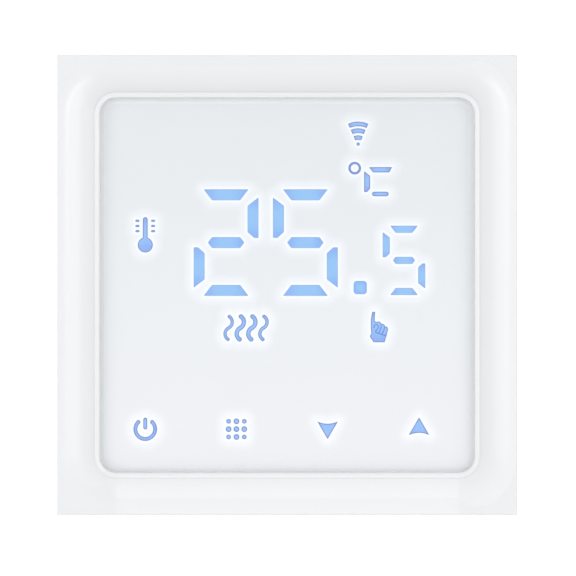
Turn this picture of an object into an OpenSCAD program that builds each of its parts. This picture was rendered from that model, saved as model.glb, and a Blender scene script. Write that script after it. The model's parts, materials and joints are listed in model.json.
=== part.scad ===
// Wall thermostat: a flush-box room thermostat with a sunk glass touch panel.
// Every piece is drawn lying on its back: x right, y up the wall, z out of the wall
// into the room, with z = 0 on the wall. stand() then tips it upright, so that the
// face looks along -Y and the power box goes into the wall along +Y.

/* [Front frame] */
// Width and height of the square front frame
face_w = 86; // [84:1:104]
// Height of the frame's outer edge above the wall
edge_h = 9.6; // [9.4:0.1:12]
// Width of the hollow cove between the edge and the lip
cove_w = 6.8; // [5.5:0.1:8]
// Rise of the cove from the edge up to the lip
cove_rise = 3.2; // [2.4:0.1:4]
// Width of the raised lip round the touch panel
lip_w = 1.1; // [0.8:0.1:1.6]
// Height of the lip above the cove
lip_rise = 0.7; // [0.6:0.1:1]
// Outer corner radius of the lip
lip_corner_r = 4.1; // [3.6:0.1:5]
// Wall thickness of the frame
frame_wall = 2; // [1.6:0.1:2.4]

/* [Touch panel] */
// Thickness of the glass
panel_t = 2; // [1.5:0.1:2.2]
// Gap between the glass and the lip
panel_gap = 0.15; // [0.1:0.05:0.5]
// Bevel round the front of the glass
panel_bevel = 0.6; // [0.2:0.05:0.7]
// How far the glass sits below the top of the lip
panel_sink = 0.3; // [0:0.1:0.5]

/* [Wall plate] */
// Distance between the two wall screws of a pair
screw_spacing = 60; // [58:0.5:62]
// Width of a wall screw slot
slot_w = 4.2; // [3.8:0.1:4.6]
// Length of a wall screw slot from end to end
slot_l = 7.6; // [6:0.2:7.8]
// Width and height of the steel plate
plate_w = 72; // [70:1:73]
// Thickness of the steel plate
plate_t = 1.2; // [1:0.1:1.3]

/* [Power box] */
// Width and height of the box in the wall
box_w = 48; // [47:0.5:58]
// Depth of the box behind the wall
box_depth = 26; // [24:0.5:32]
// Corner radius of the box
box_r = 10; // [8.5:0.5:11]
// Wall thickness of the box
box_wall = 1.8; // [1.4:0.1:2]

/* [Terminals] */
// Distance from one terminal to the next
pole_pitch = 5.08; // [5:0.04:5.2]
// Radius of the hole that the wire goes into
wire_r = 1.4; // [1.1:0.1:1.5]
// Distance that a clamp rises when its screw is tightened
clamp_travel = 2.2; // [1.6:0.1:2.3]

/* [Hidden] */
$fn = 48;
poles = 6;
eps = 0.05;
edge_land = 0.1;

// heights above the wall, from the lip back to the carrier
lip_top = edge_h + cove_rise + lip_rise;
panel_front = lip_top - panel_sink;
panel_back = panel_front - panel_t;
film_t = 0.2;
film_back = panel_back - film_t;
tape_t = 0.2;
ledge_h = film_back - tape_t;
board_t = 1.2;
board_front = edge_h - frame_wall;
board_back = board_front - board_t;
carrier_t = 1.4;
carrier_front = board_back - 3;
carrier_back = carrier_front - carrier_t;

// widths, from the edge in to the window
lip_outer = face_w - 2 * (cove_w + edge_land);
pocket_w = lip_outer - 2 * lip_w;
pocket_r = lip_corner_r - lip_w;
panel_w = pocket_w - 2 * panel_gap;
panel_r = pocket_r - panel_gap;
window_w = panel_w - 3.6;
cavity_w = face_w - 2 * frame_wall;
board_w = window_w + 2.8;
carrier_w = cavity_w - 0.6;
boss_x = cavity_w / 2 - 3.5;

// the cove is one arc, which almost levels out where it meets the edge
cove_lead = 0.7;
cove_cx = cove_w + cove_lead;
cove_cz = (cove_cx ^ 2 - cove_lead ^ 2 + cove_rise ^ 2) / (2 * cove_rise);
cove_r = sqrt(cove_lead ^ 2 + cove_cz ^ 2);

// hooks that hold the front unit to the plate
hook_x = 20;
tongue_w = 12;
tongue_reach = plate_w / 2 + 0.4;
tongue_root = plate_w / 2 - 7;
arm_in = plate_w / 2 + 0.7;
arm_t = 1.2;
arm_w = 10;

// power box and its boards
box_in = box_w - 2 * box_wall;
box_in_r = box_r - box_wall;
cover_t = 1.5;
power_front = -4.4;
power_back = -6;
floor_z = -box_depth + box_wall;
box_screws = [
    [box_in / 2 - 4.7, box_in / 2 - 4.7], [-(box_in / 2 - 4.7), box_in / 2 - 4.7],
    [box_in / 2 - 3.2, -8.5], [-(box_in / 2 - 3.2), -8.5]];
boss_r = 3.5;
boss_neck_r = 2.3;

// board-to-board header
header_cols = 5;
header_rows = 2;
header_pitch = 2.54;
pin_w = 0.64;
header_w = header_cols * header_pitch + 0.3;
header_h = header_rows * header_pitch;

// terminals: front means nearest the room
block_y0 = -(box_w / 2 - 0.4);
block_depth = 10.8;
block_y1 = block_y0 + block_depth;
pole_w = pole_pitch - 0.04;
clamp_y = block_y0 + 6.1;
cage_len = 4.8;
cage_t = 0.5;
cage_x = wire_r + 0.05 + cage_t;
cage_front = -7.3;
cage_floor = 0.8;
wire_z = cage_front - cage_floor - wire_r - 0.05;
strip_front = wire_z - wire_r - 0.15;
strip_t = 0.8;
cage_head = -14.6;
cage_rear = -15.8;
shelf_front = cage_rear - clamp_travel - 0.5;
shelf_rear = shelf_front - 0.6;
thread_r = 1.2;
screw_head_r = 1.75;
screw_head_t = 1.5;
block_rear = shelf_rear - screw_head_t - 0.2;

// display art is laid out for a panel 69.3 wide, and follows the panel's size
art = panel_w / 69.7;
// each digit: its lower left corner, width, height, stroke, and the insets of its bars
tens = [[-17.48, -2.02], 12.1, 19.9, 2.03, 1.87, 1.52];
units = [[-2.65, -2.02], 12.1, 19.9, 2.03, 1.87, 1.52];
tenths = [[17.87, -1.87], 7.94, 12.95, 1.31, 1.4, 1.2];
key_y = -26.95;
key_xs = [-26.54, -9.49, 7.56, 24.65];

// relay, with its middle at relay_x, relay_y
relay_y = 7.35;
relay_l = 29;
relay_w = 12.7;
relay_h = 15.7;
pivot_z = power_back - 13.9;
pivot_x = 4.9;
coil_z = power_back - 8.6;

// ---------- helpers ----------

// tips a piece drawn on its back upright against the wall
module stand() rotate([90, 0, 0]) children();

// a flat piece from height z0 to height z1
module slab(z0, z1) translate([0, 0, z0]) linear_extrude(z1 - z0) children();

// a box from one corner to the opposite one
module block(from, to) translate(from) cube(to - from);

module rounded_square(w, h, r) {
    square([w - 2 * r, h], center = true);
    square([w, h - 2 * r], center = true);
    for (x = [-1, 1], y = [-1, 1])
        translate([x * (w / 2 - r), y * (h / 2 - r)]) circle(r);
}

// a bar with round ends, standing on y
module round_bar(w, h) {
    square([w, h - w], center = true);
    for (s = [-1, 1]) translate([0, s * (h - w) / 2]) circle(w / 2);
}

// sweeps a section round a rounded square: x is outward from its outline, y is height
module rim(w, r) {
    for (k = [0:3]) rotate(90 * k) {
        translate([w / 2, w / 2 - r, 0]) rotate([90, 0, 0]) linear_extrude(w - 2 * r) children();
        translate([w / 2 - r, w / 2 - r, 0]) rotate_extrude(angle = 90) translate([r, 0]) children();
    }
}

// an arc of a ring, under half a turn
module arc_band(r, t, from, to) {
    reach = 2 * r + t;
    middle = (from + to) / 2;
    intersection() {
        difference() {
            circle(r + t / 2);
            circle(r - t / 2);
        }
        polygon([[0, 0], for (a = [from, middle, to]) reach * [cos(a), sin(a)]]);
    }
}

// children at every corner of a square
module at_corners(x) for (sx = [-1, 1], sy = [-1, 1]) translate([sx * x, sy * x, 0]) children();

// children at the four hooks, each with +y pointing outward
module at_hooks() for (sx = [-1, 1], turn = [0, 180]) rotate(turn) translate([sx * hook_x, 0, 0]) children();

// children at every pole of the terminal block
function pole_x(k) = (k - (poles - 1) / 2) * pole_pitch;
module at_poles() for (k = [0:poles - 1]) translate([pole_x(k), 0, 0]) children();

// children at every pin of the header
module at_pins()
    for (c = [0:header_cols - 1], r = [0:header_rows - 1])
        translate([(c - (header_cols - 1) / 2) * header_pitch, (r - (header_rows - 1) / 2) * header_pitch, 0])
            children();

// a coil of round wire standing on z
module coil(r, wire, turns, height, sides = 6, steps = 14) {
    count = turns * steps;
    points = [for (i = [0:count], j = [0:sides - 1])
        let (a = 360 * i / steps, b = 360 * j / sides, rr = r + wire * cos(b))
        [rr * cos(a), rr * sin(a), wire + (height - 2 * wire) * i / count + wire * sin(b)]];
    walls = [for (i = [0:count - 1], j = [0:sides - 1])
        let (k = (j + 1) % sides) [i * sides + j, i * sides + k, (i + 1) * sides + k, (i + 1) * sides + j]];
    ends = [[for (j = [sides - 1:-1:0]) j], [for (j = [0:sides - 1]) count * sides + j]];
    polyhedron(points, concat(walls, ends), convexity = 10);
}

// ---------- display art, flat ----------

// one segment of a seven-segment digit, drawn for the top right; mirrored for the others
module side_bar(w, h, t, inset) {
    mitre = 0.77 * t;
    polygon([[w, h - inset], [w - t, h - inset - mitre], [w - t, h / 2 + 0.98 * t],
             [w - 0.4 * t, h / 2 + 0.44 * t], [w, h / 2 + 0.44 * t]]);
}

module top_bar(w, h, t, inset) {
    mitre = 0.77 * t;
    polygon([[inset, h], [w - inset, h], [w - inset - mitre, h - t], [inset + mitre, h - t]]);
}

module middle_bar(w, h, t, inset) {
    mitre = 0.77 * t;
    polygon([for (s = [-1, 1])
        each [[w / 2 - s * (w / 2 - inset - mitre / 2), h / 2],
              [w / 2 - s * (w / 2 - inset - mitre), h / 2 + s * t / 2],
              [w / 2 + s * (w / 2 - inset - mitre), h / 2 + s * t / 2]]]);
}

module flip_x(w) translate([w, 0]) mirror([1, 0]) children();
module flip_y(h) translate([0, h]) mirror([0, 1]) children();

// the segments of a digit named by their usual letters
module digit(d, letters) {
    w = d[1];
    h = d[2];
    t = d[3];
    translate(d[0]) for (s = letters) {
        if (s == "a") top_bar(w, h, t, d[4]);
        if (s == "b") side_bar(w, h, t, d[5]);
        if (s == "c") flip_y(h) side_bar(w, h, t, d[5]);
        if (s == "d") flip_y(h) top_bar(w, h, t, d[4]);
        if (s == "e") flip_y(h) flip_x(w) side_bar(w, h, t, d[5]);
        if (s == "f") flip_x(w) side_bar(w, h, t, d[5]);
        if (s == "g") middle_bar(w, h, t, d[4]);
    }
}

module decimal_point() translate([13.65, -0.48]) rounded_square(2.46, 2.46, 0.6);

module celsius_art() {
    translate([12.62, 21.85]) difference() {
        circle(1.18);
        circle(0.75);
    }
    polygon([[15.28, 22.03], [19.62, 22.03], [19.06, 21.06], [16.07, 21.06]]);
    polygon([[14.4, 21.3], [15.5, 20.4], [15.5, 18.03], [14.9, 17.4], [14.4, 17.4]]);
    translate([17.41, 17.02]) rotate(90) round_bar(0.83, 3.1);
}

module wifi_art() translate([13.27, 25.87]) {
    for (band = [[4.25, 0.83], [2.99, 0.84], [1.7, 0.8]]) arc_band(band[0], band[1], 66, 114);
    translate([0, 0.48]) circle(0.3);
}

module thermometer_art() translate([-26.54, 7.49]) {
    circle(1.4);
    translate([0, 2.7]) round_bar(0.88, 5);
    for (s = [-1, 1], k = [0:2]) translate([1.47 * s, 2.58 + 0.97 * k]) rotate(90) round_bar(0.4, 0.76);
}

// one wave of rising heat: two arcs, the lower one the upper one turned over
module wave(t, r = 1.245, half = 59)
    for (turn = [0, 180]) rotate(turn - 3.5) translate([-r * cos(half), r * sin(half)]) {
        arc_band(r, t, -half, half);
        // a hair wider than the stroke, so that no outline runs tangent to another
        for (end = [-half, half]) translate(r * [cos(end), sin(end)]) circle(t / 2 + 0.03);
    }

module heating_art() {
    strokes = [0.6, 0.8, 0.8, 0.64];
    for (k = [0:3]) translate([-10.95 + 2.17 * k, -8.03]) wave(strokes[k]);
}

// a hand with its index finger up
module manual_art()
    polygon([[15.9, -5.02], [16.44, -5.02], [16.33, -6.63], [16.6, -6.95], [17.08, -6.8], [17.42, -6.96],
             [17.62, -7.24], [17.97, -7.26], [18.22, -7.52], [18.38, -7.78], [18.7, -7.78], [18.87, -8.29],
             [18.66, -9.2], [18.2, -10.7], [16.17, -10.7], [15.42, -9.6], [15.74, -9.1], [15.66, -8.13],
             [15.66, -6.42]]);

module power_art(r = 1.85, t = 0.72) {
    difference() {
        circle(r + t / 2);
        circle(r - t / 2);
        polygon([[0, 0], [3, 3], [-3, 3]]);
    }
    for (a = [45, 135]) translate(r * [cos(a), sin(a)]) circle(t / 2 + 0.03);
    translate([0, 1.05]) round_bar(t, 2.2);
}

module grid_art() for (x = [-1:1], y = [-1:1])
    translate(1.464 * [x, y]) circle(x * y == 0 ? 0.53 : 0.43);

// an arrowhead pointing up, with a hollow base
module arrow_art(w = 3.86, h = 3.32, hollow = 0.45) difference() {
    r = (w ^ 2 / 4 + hollow ^ 2) / (2 * hollow);
    polygon([[-w / 2, 0], [w / 2, 0], [0, h]]);
    translate([0, hollow - r]) circle(r);
}

module keys_art() {
    translate([key_xs[0], key_y]) power_art();
    translate([key_xs[1], key_y]) grid_art();
    translate([key_xs[2], key_y + 1.45]) mirror([0, 1]) arrow_art();
    translate([key_xs[3], key_y - 1.13]) arrow_art();
}

module unlit_art() {
    digit(tens, "cf");
    digit(units, "be");
    digit(tenths, "be");
}

module all_art() {
    for (d = [tens, units, tenths]) digit(d, "abcdefg");
    decimal_point();
    celsius_art();
    wifi_art();
    thermometer_art();
    heating_art();
    manual_art();
    keys_art();
}

// a thin coloured window in the film
module film_window() stand() slab(film_back, panel_back) scale([art, art]) children();

// ---------- front unit ----------

// section through the cove and the lip
module frame_section() {
    top = edge_h + cove_rise;
    difference() {
        translate([-lip_w, edge_h - 1]) square([lip_w + cove_w, 1 + cove_rise]);
        intersection() {
            translate([cove_cx, edge_h + cove_cz]) circle(cove_r, $fn = 144);
            translate([0, edge_h - 1]) square([2 * cove_r, 3 * cove_r]);
        }
    }
    translate([-lip_w, edge_h]) square([lip_w, lip_top - lip_w / 2 - edge_h]);
    translate([-lip_w / 2, lip_top - lip_w / 2]) circle(lip_w / 2);
}

module front_frame() color("white") stand() {
    difference() {
        union() {
            slab(0, edge_h) square(face_w, center = true);
            slab(edge_h - 0.5, ledge_h) rounded_square(pocket_w + lip_w, pocket_w + lip_w, pocket_r + lip_w / 2);
            rim(lip_outer, lip_corner_r) frame_section();
        }
        slab(-1, board_front) square(cavity_w, center = true);
        slab(board_front - 1, lip_top) rounded_square(window_w, window_w, 2);
        // air slots in the lower and upper walls, over and under the room sensor
        for (s = [-1, 1], k = [-4:4])
            translate([6 * k, s * (face_w - frame_wall) / 2, (carrier_front + board_front) / 2])
                cube([4, frame_wall + 1, 1.6], center = true);
        // notches for the screwdriver that releases the hooks
        for (x = [-hook_x, hook_x]) translate([x, -face_w / 2, 0]) cube([8, 2 * frame_wall + 1, 2.4], center = true);
    }
    at_corners(boss_x) difference() {
        slab(carrier_front, board_front + 0.5) circle(2.6);
        slab(carrier_front - 1, board_front - 0.4) circle(0.9);
    }
}

module touch_panel() color("ghostwhite") stand() {
    inner = panel_r * 0.7;
    rim(panel_w, panel_r)
        polygon([[-inner, panel_back], [0, panel_back], [0, panel_front - panel_bevel],
                 [-panel_bevel, panel_front], [-inner, panel_front]]);
    slab(panel_back, panel_front)
        rounded_square(panel_w - 2 * inner, panel_w - 2 * inner, panel_r - inner);
}

module mask_film() color("white") stand() slab(film_back, panel_back) difference() {
    rounded_square(panel_w, panel_w, panel_r);
    scale([art, art]) all_art();
}

module tens_digit() color("lightskyblue") film_window() digit(tens, "abged");
module units_digit() color("lightskyblue") film_window() {
    digit(units, "afgcd");
    decimal_point();
}
module tenths_digit() color("lightskyblue") film_window() digit(tenths, "afgcd");
module unlit_segments() color("white") film_window() unlit_art();
module celsius_sign() color("lightskyblue") film_window() celsius_art();
module wifi_icon() color("lightskyblue") film_window() wifi_art();
module thermometer_icon() color("lightskyblue") film_window() thermometer_art();
module heating_icon() color("lightskyblue") film_window() heating_art();
module manual_icon() color("lightskyblue") film_window() manual_art();
module key_icons() color("lightskyblue") film_window() keys_art();

module panel_tape() color("white") stand() slab(ledge_h, film_back) difference() {
    rounded_square(pocket_w - 2 * eps, pocket_w - 2 * eps, pocket_r - eps);
    rounded_square(window_w + 0.4, window_w + 0.4, 2.2);
}

// the white light box behind the display: a straight well behind every sign
module display_reflector() color("white") stand() slab(board_front, film_back) scale([art, art]) difference() {
    translate([0, 9.7]) rounded_square(61, 45.4, 1.5);
    for (d = [tens, units, tenths]) digit(d, "abcdefg");
    decimal_point();
    translate([12.62, 21.85]) circle(1.5);
    translate([17, 19.3]) rounded_square(5.6, 6, 0.5);
    translate([13.27, 28.2]) rounded_square(4.4, 5.6, 0.5);
    translate([-26.54, 9.4]) rounded_square(4.6, 7.4, 0.5);
    translate([-7.65, -8.03]) rounded_square(9.6, 6, 0.5);
    translate([17.1, -7.86]) rounded_square(4.4, 6.2, 0.5);
}

module touch_springs() color("silver") stand() for (x = key_xs)
    translate([x * art, key_y * art, board_front + eps]) coil(4, 0.25, 3, film_back - board_front - 2 * eps);

module display_board() color("seagreen") stand() slab(board_back, board_front)
    rounded_square(board_w, board_w, 1.5);

// one light in the middle of each well and inside each touch spring
module segment_light() translate([0, 0, board_front]) linear_extrude(0.6) square([1.4, 0.7], center = true);

function segment_middles(d) = let (w = d[1], h = d[2], t = d[3]) [
    [w / 2, h - t / 2, 0], [w / 2, h / 2, 0], [w / 2, t / 2, 0],
    for (x = [t / 2, w - t / 2], y = [0.26, 0.74]) [x, h * y, 90]];

module segment_leds() color("khaki") stand() {
    for (d = [tens, units, tenths], m = segment_middles(d))
        translate([art * (d[0][0] + m[0]), art * (d[0][1] + m[1]), 0]) rotate(m[2]) segment_light();
    for (p = concat([[13.65, -0.48], [12.62, 21.85], [17, 19.3], [13.27, 28.2], [-26.54, 9.4],
                     [-9.8, -8.03], [-5.4, -8.03], [17.1, -7.86]], [for (x = key_xs) [x, key_y]]))
        translate([art * p[0], art * p[1], 0]) segment_light();
}

module controller_chips() color("darkslategray") stand() {
    translate([-14, 14, 0]) slab(board_back - 1, board_back) square(7, center = true);
    translate([-4, -22, 0]) slab(board_back - 1, board_back) square([6.5, 4.4], center = true);
}

module wifi_module() color("silver") stand() translate([16, 14, 0]) {
    slab(board_back - 0.8, board_back) square([16, 20], center = true);
    translate([0, -2.4, 0]) slab(board_back - 2.6, board_back - 0.8) rounded_square(13.6, 12.4, 0.6);
}

module board_components() color("tan") stand() {
    // clock crystal, sounder and supply capacitor
    translate([-25, 14, 0]) slab(board_back - 1.2, board_back) rounded_square(5, 3.2, 0.4);
    translate([-20, -14, 0]) slab(board_back - 2, board_back) square(9, center = true);
    translate([20, -14, 0]) slab(board_back - 2.4, board_back) circle(3);
    // a row of small resistors and capacitors
    for (k = [0:7]) translate([-14 + 4 * k, -9.5, 0]) slab(board_back - 0.5, board_back) square([0.8, 1.6], center = true);
    for (k = [0:3]) translate([-14 + 2.2 * k, 22, 0]) slab(board_back - 0.8, board_back) square([0.8, 1.6], center = true);
}

module header_base() color("black") stand() slab(board_back - 2.5, board_back) difference() {
    square([header_w, header_h], center = true);
    at_pins() square(pin_w, center = true);
}

module header_pins() color("gold") stand() at_pins() slab(-2.2, board_back) square(pin_w, center = true);

// a glass bead on two leads, close to the lower air slots
module room_sensor() color("firebrick") stand() translate([-12, 0, 0]) {
    bead_y = -(cavity_w / 2 - 3);
    foot_y = -(board_w / 2 - 1.6);
    bead_z = board_back - 1.5;
    translate([0, bead_y, bead_z]) sphere(1.1);
    for (x = [-0.55, 0.55]) {
        translate([x, foot_y, bead_z]) rotate([90, 0, 0]) cylinder(h = foot_y - bead_y, r = 0.2);
        translate([x, foot_y, bead_z]) sphere(0.2);
        translate([x, foot_y, bead_z]) cylinder(h = board_back - bead_z, r = 0.2);
    }
}

module front_carrier() color("gainsboro") stand() {
    post_x = board_w / 2 - 2.3;
    difference() {
        slab(carrier_back, carrier_front) rounded_square(carrier_w, carrier_w, 1);
        slab(0, board_back) square([header_w + 1.6, header_h + 2], center = true);
        at_corners(boss_x) slab(0, board_back) circle(1.1);
        // a window in front of each tongue, and a slot that lets its arm's root flex
        at_hooks() slab(0, board_back) {
            translate([0, (tongue_root - 0.4 + arm_in) / 2])
                square([tongue_w + 2, arm_in - tongue_root + 0.4], center = true);
            translate([0, arm_in + arm_t + 0.6]) square([tongue_w + 4, 1.2], center = true);
        }
        // air slots round the middle
        for (s = [-1, 1], k = [-3:3]) translate([5 * k, s * 14, 0]) slab(0, board_back) square([2.4, 8], center = true);
    }
    at_corners(post_x) slab(carrier_front - 0.5, board_back) circle(1.5);
    // hook arms, each with a barb that goes behind its tongue
    at_hooks() translate([-arm_w / 2, 0, 0]) rotate([90, 0, 90]) linear_extrude(arm_w)
        polygon([[arm_in, carrier_back + 0.5], [arm_in, plate_t - 0.1], [arm_in - 0.7, plate_t - 0.1],
                 [arm_in - 0.7, 0.7], [arm_in - 0.2, 0.2], [arm_in + arm_t, 0.2],
                 [arm_in + arm_t, carrier_back + 0.5]]);
}

module carrier_screws() color("silver") stand() at_corners(boss_x) difference() {
    union() {
        slab(carrier_back - 1, carrier_back) circle(1.9);
        slab(carrier_back - eps, board_front - 0.8) circle(0.85);
    }
    for (turn = [0, 90]) rotate(turn) translate([-1, -0.2, carrier_back - 1.1]) cube([2, 0.4, 0.6]);
}

// ---------- wall plate and power box ----------

module wall_slot(turn) rotate(turn) rotate(90) round_bar(slot_w, slot_l);

module mounting_plate() color("silver") stand() {
    difference() {
        slab(0, plate_t) difference() {
            rounded_square(plate_w, plate_w, 3);
            rounded_square(28, 28, 2);
            for (s = [-1, 1]) {
                translate([s * screw_spacing / 2, 0]) wall_slot(0);
                translate([0, s * screw_spacing / 2]) wall_slot(90);
            }
            at_hooks() translate([0, tongue_root + 6]) square([tongue_w + 1.5, 12], center = true);
        }
        for (p = box_screws) translate([p[0], p[1], -0.1]) {
            cylinder(h = plate_t + 0.2, r = 1.4);
            translate([0, 0, 0.2]) cylinder(h = plate_t, r1 = 1.4, r2 = 2.6);
        }
    }
    // tongues stepped forward by the plate's thickness
    at_hooks() translate([-tongue_w / 2, 0, 0]) rotate([90, 0, 90]) linear_extrude(tongue_w)
        polygon([[tongue_root - 1, 0], [tongue_root + 0.6, 0], [tongue_root + 2.2, plate_t],
                 [tongue_reach, plate_t], [tongue_reach, 2 * plate_t], [tongue_root + 1.6, 2 * plate_t],
                 [tongue_root, plate_t], [tongue_root - 1, plate_t]]);
}

module housing_screws() color("silver") stand() for (p = box_screws) translate([p[0], p[1], 0]) difference() {
    union() {
        translate([0, 0, -0.01]) cylinder(h = plate_t, r1 = 1.1, r2 = 2.3);
        slab(-9, 0.1) circle(1.1);
    }
    for (turn = [0, 90]) rotate(turn) translate([-1.2, -0.25, plate_t - 0.6]) cube([2.4, 0.5, 1]);
}

module rear_housing() color("white") stand() {
    bay_x = poles * pole_pitch / 2 + 0.15;
    difference() {
        slab(-box_depth, 0) rounded_square(box_w, box_w, box_r);
        slab(floor_z, 1) rounded_square(box_in, box_in, box_in_r);
        block([-bay_x, -box_w, -box_depth - 1], [bay_x, block_y1 + 0.1, power_back]);
    }
    // walls that shut the terminal bay off from the boards
    intersection() {
        slab(floor_z - 0.5, power_back - 1) rounded_square(box_in + 0.6, box_in + 0.6, box_in_r + 0.3);
        union() {
            block([-box_w / 2, block_y1 + 0.1, -box_depth], [box_w / 2, block_y1 + 1.3, 0]);
            for (s = [-1, 1]) translate([s * (bay_x + 0.6), (block_y1 - box_w / 2) / 2, floor_z / 2])
                cube([1.2, box_w / 2 + block_y1 + 0.2, -floor_z + 1], center = true);
        }
    }
    // bosses for the plate's screws; the power board sits on their shoulders
    intersection() {
        slab(floor_z - 0.5, 0) rounded_square(box_in + 0.6, box_in + 0.6, box_in_r + 0.3);
        for (p = box_screws) translate([p[0], p[1], 0]) difference() {
            union() {
                slab(floor_z - 0.5, power_back) circle(boss_r);
                slab(power_back - 1, -cover_t) circle(boss_neck_r);
            }
            slab(-10.5, 1) circle(1.25);
        }
    }
}

module insulating_cover() color("ivory") stand() {
    difference() {
        slab(-cover_t, 0) rounded_square(box_in - 0.2, box_in - 0.2, box_in_r - 0.1);
        slab(-cover_t - 1, 1) square([header_w + 1.2, header_h + 1.2], center = true);
        for (p = box_screws) translate([p[0], p[1], 0]) slab(-cover_t - 1, 1) circle(1.5);
    }
    // tubes that hold the power board down on its shoulders
    intersection() {
        slab(power_front, 0) rounded_square(box_in - 0.2, box_in - 0.2, box_in_r - 0.1);
        for (p = box_screws) translate([p[0], p[1], 0]) slab(power_front, -cover_t + 0.2) difference() {
            circle(3.3);
            circle(boss_neck_r + 0.2);
        }
    }
}

module power_board() color("seagreen") stand() slab(power_back, power_front) difference() {
    rounded_square(box_in - 0.4, box_in - 0.4, box_in_r - 0.2);
    for (p = box_screws) translate(p) circle(boss_neck_r + 0.15);
}

module header_socket() color("black") stand() difference() {
    slab(power_front, 1) square([header_w + 0.7, header_h + 0.5], center = true);
    at_pins() slab(-3.6, 2) square(pin_w + 0.26, center = true);
}

// ---------- relay ----------

module at_relay() stand() translate([0, relay_y, 0]) children();

module relay_base() color("black") at_relay() slab(power_back - 1.6, power_back)
    square([relay_l, relay_w], center = true);

module relay_cover() color("white") at_relay() difference() {
    slab(power_back - relay_h, power_back - 1.6) square([relay_l, relay_w], center = true);
    slab(power_back - relay_h + 0.6, power_back) square([relay_l - 1.2, relay_w - 1.2], center = true);
}

// copper winding between two flanges, with the iron core's pole at its end
module relay_coil() color("chocolate") at_relay() translate([-11.6, 0, coil_z]) rotate([0, 90, 0]) {
    cylinder(h = 15.6, r = 1.4);
    for (x = [0.2, 13.6]) translate([0, 0, x]) cylinder(h = 0.8, r = 4.2);
    translate([0, 0, 0.9]) cylinder(h = 12.8, r = 3.9);
}

// L-shaped iron: a wall at the coil's far end and an arm over the coil
module relay_yoke() color("gray") at_relay() {
    block([-12.6, -3.6, pivot_z - 0.3], [-11.6, 3.6, power_back - 2.6]);
    block([-12.6, -3.6, pivot_z - 0.3], [pivot_x - 0.8, 3.6, pivot_z + 0.7]);
}

// plate that tips towards the pole, with the moving contact at its free end
module relay_armature() color("gray") at_relay() {
    block([pivot_x - 0.3, -3.4, pivot_z - 0.3], [pivot_x + 0.7, 3.4, power_back - 2.6]);
    translate([pivot_x - 0.9, 0, power_back - 3.4]) rotate([0, 90, 0]) cylinder(h = 0.7, r = 0.8);
}

// fixed contact on its strip, and the moving contact's terminal strip
module relay_contacts() color("darkgoldenrod") at_relay() {
    block([1.6, -1.5, power_back - 4.1], [2.2, 1.5, power_back - 1.6]);
    translate([2.1, 0, power_back - 3.4]) rotate([0, 90, 0]) cylinder(h = 0.75, r = 0.65);
    block([9, -3, power_back - 9], [9.5, 3, power_back - 1.6]);
}

// ---------- power board's parts ----------

module transformer_core() color("dimgray") stand() translate([-8.2, -5.4, power_back]) {
    // two E shaped halves, taken as one closed frame round the winding
    difference() {
        translate([-5.6, -2.4, -11]) cube([11.2, 4.8, 10]);
        for (s = [-1, 1]) translate([2.9 * s, 0, -6]) cube([2.4, 6, 7], center = true);
    }
}

module transformer_winding() color("gold") stand() translate([-8.2, -5.4, power_back]) difference() {
    union() {
        translate([-4, -4.2, -9.4]) cube([8, 8.4, 6.8]);
        for (z = [-9.45, -3.15]) translate([-4.05, -4.4, z]) cube([8.1, 8.8, 0.6]);
        translate([-4.05, 2.8, -3]) cube([8.1, 1.6, 3]);
        translate([-4.05, -4.4, -3]) cube([8.1, 1.6, 3]);
    }
    translate([0, 0, -6]) cube([3.4, 4.8, 12], center = true);
    for (s = [-1, 1]) translate([s * 5, 0, -6]) cube([1.8, 4.8, 12], center = true);
}

module film_capacitor() color("goldenrod") stand() slab(power_back - 11, power_back)
    translate([-6, 18]) rounded_square(13, 6, 0.5);

module electrolytic_capacitors() color("midnightblue") stand()
    for (x = [2.6, 11.4]) translate([x, -5.8, 0]) slab(power_back - 12, power_back) circle(4);

module varistor() color("steelblue") stand() translate([6.5, 16.6, power_back - 4.7]) rotate([90, 0, 0]) {
    translate([0, 0, -1.4]) cylinder(h = 2.8, r = 3.5);
    for (s = [-1, 1]) translate([2.2 * s, -2, 0]) rotate([-90, 0, 0]) translate([0, 0, 2])
        rotate([180, 0, 0]) cylinder(h = 2.7, r = 0.3);
}

module fuse() color("darkolivegreen") stand() translate([2.5, 20.2, power_back - 1.7]) rotate([0, 90, 0]) {
    cylinder(h = 8, r = 1.3);
    for (x = [0.5, 7.1]) translate([0, 0, x]) cylinder(h = 0.4, r = 1.45);
}

// ---------- terminals ----------

module terminal_block() color("green") stand() at_poles() difference() {
    block([-pole_w / 2, block_y0, block_rear], [pole_w / 2, block_y1, power_back]);
    // chamber that the clamp rises in
    block([-cage_x - 0.15, clamp_y - cage_len / 2 - 0.3, shelf_front],
          [cage_x + 0.15, clamp_y + cage_len / 2 + 0.3, cage_front + 0.2]);
    // wire hole
    translate([0, block_y0 - 1, wire_z]) rotate([-90, 0, 0]) cylinder(h = 5, r = wire_r);
    // slot for the contact's leg, open towards the board
    block([-1.4, clamp_y + cage_len / 2, strip_front - strip_t - 0.2], [1.4, block_y1 - 0.8, power_back + 1]);
    // screw's shank and head
    translate([0, clamp_y, block_rear - 1]) cylinder(h = 1 - block_rear + shelf_front + 1, r = 1.4);
    translate([0, clamp_y, block_rear - 1]) cylinder(h = 1 - block_rear + shelf_rear, r = screw_head_r + 0.2);
}

module terminal_contacts() color("goldenrod") stand() at_poles() {
    leg_y = block_y1 - 1;
    block([-1.2, clamp_y - cage_len / 2 + 0.1, strip_front - strip_t], [1.2, leg_y, strip_front]);
    block([-1.2, leg_y - 0.8, strip_front - strip_t], [1.2, leg_y, power_back]);
}

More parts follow.
